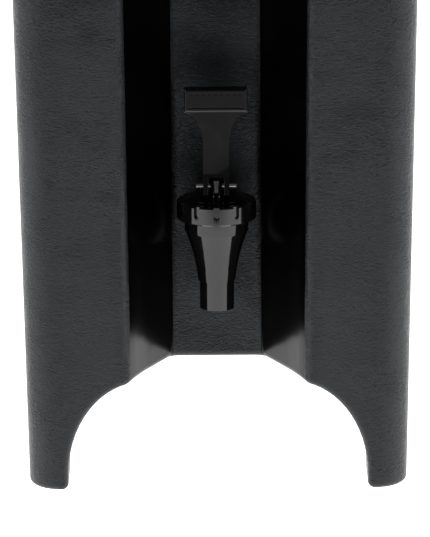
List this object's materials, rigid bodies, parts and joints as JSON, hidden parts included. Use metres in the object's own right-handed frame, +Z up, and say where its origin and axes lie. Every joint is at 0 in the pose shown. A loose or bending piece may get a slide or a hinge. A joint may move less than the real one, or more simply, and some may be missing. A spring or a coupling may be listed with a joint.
{
  "type": "insulated beverage carrier",
  "caption": "Tall double-walled insulated carrier on moulded legs, with a lever faucet in a front recess, hand pockets, a lift-off latched lid and a screw vent cap.",
  "frame": {"origin": "centre of the footprint, on the surface that the four feet stand on", "axes": "+Z up, -Y towards the faucet, +X to the right seen from the faucet side"},
  "size_m": [0.229, 0.419, 0.616],
  "materials": {
    "body_plastic": "rotationally moulded polyethylene, fine pebbled grain, low sheen",
    "foam": "closed-cell polyurethane foam",
    "faucet_plastic": "injection moulded, polished black",
    "silicone": "moulded silicone",
    "stainless": "cold-drawn stainless steel",
    "vent_plastic": "moulded polypropylene, satin",
    "latch_nylon": "moulded glass-filled nylon, satin"
  },
  "bodies": {
    "body": {"body_shell": "body_plastic", "tank_liner": "body_plastic", "body_foam": "foam", "body_foam_plugs": "body_plastic", "faucet_body": "faucet_plastic", "shank_washer_outer": "silicone", "shank_washer_inner": "silicone", "shank_nut": "faucet_plastic", "faucet_bonnet": "faucet_plastic", "bonnet_gasket": "silicone", "faucet_spring": "stainless", "latch_bracket_right": "latch_nylon", "latch_bracket_left": "latch_nylon", "latch_pin_right": "stainless", "latch_pin_left": "stainless", "latch_screws_right": "stainless", "latch_screws_left": "stainless"},
    "stem": {"valve_stem": "faucet_plastic", "seat_cup": "silicone", "handle_pin": "stainless"},
    "handle": {"faucet_handle": "faucet_plastic"},
    "lid": {"lid_shell": "body_plastic", "lid_foam": "foam", "lid_foam_plug": "body_plastic", "lid_gasket": "silicone"},
    "vent_thread": {"vent_gasket": "silicone"},
    "vent_cap": {"vent_cap": "vent_plastic"},
    "latch_right": {"latch_lever_right": "latch_nylon"},
    "latch_left": {"latch_lever_left": "latch_nylon"}
  },
  "joints": [
    {"name": "stem_lift", "type": "slide", "parent": "body", "child": "stem", "axis": [0, 0, 1], "range_m": [0, 0.0035], "stiffness_N_per_m": 1200, "springref_m": -0.001, "deforming": ["faucet_spring"]},
    {"name": "handle_tilt", "type": "hinge", "parent": "stem", "child": "handle", "pos_m": [0, -0.17475, 0.1667], "axis": [1, 0, 0], "range_deg": [0, 50]},
    {"name": "lid_lift", "type": "slide", "parent": "body", "child": "lid", "axis": [0, 0, 1], "range_m": [0, 0.13]},
    {"name": "vent_rise", "type": "slide", "parent": "lid", "child": "vent_thread", "axis": [0, 0, 1], "range_m": [0, 0.0046]},
    {"name": "vent_turn", "type": "hinge", "parent": "vent_thread", "child": "vent_cap", "pos_m": [0, 0.03, 0.6], "axis": [0, 0, 1], "range_deg": [0, 540]},
    {"name": "latch_right_swing", "type": "hinge", "parent": "body", "child": "latch_right", "pos_m": [0.107, 0, 0.468], "axis": [0, 1, 0], "range_deg": [-2.9, 90]},
    {"name": "latch_left_swing", "type": "hinge", "parent": "body", "child": "latch_left", "pos_m": [-0.107, 0, 0.468], "axis": [0, -1, 0], "range_deg": [-2.9, 90]}
  ],
  "couplings": [
    {"joint": "stem_lift", "follows": "handle_tilt", "m_per_rad": 0.004},
    {"joint": "vent_rise", "follows": "vent_turn", "m_per_rad": 0.00047746}
  ]
}
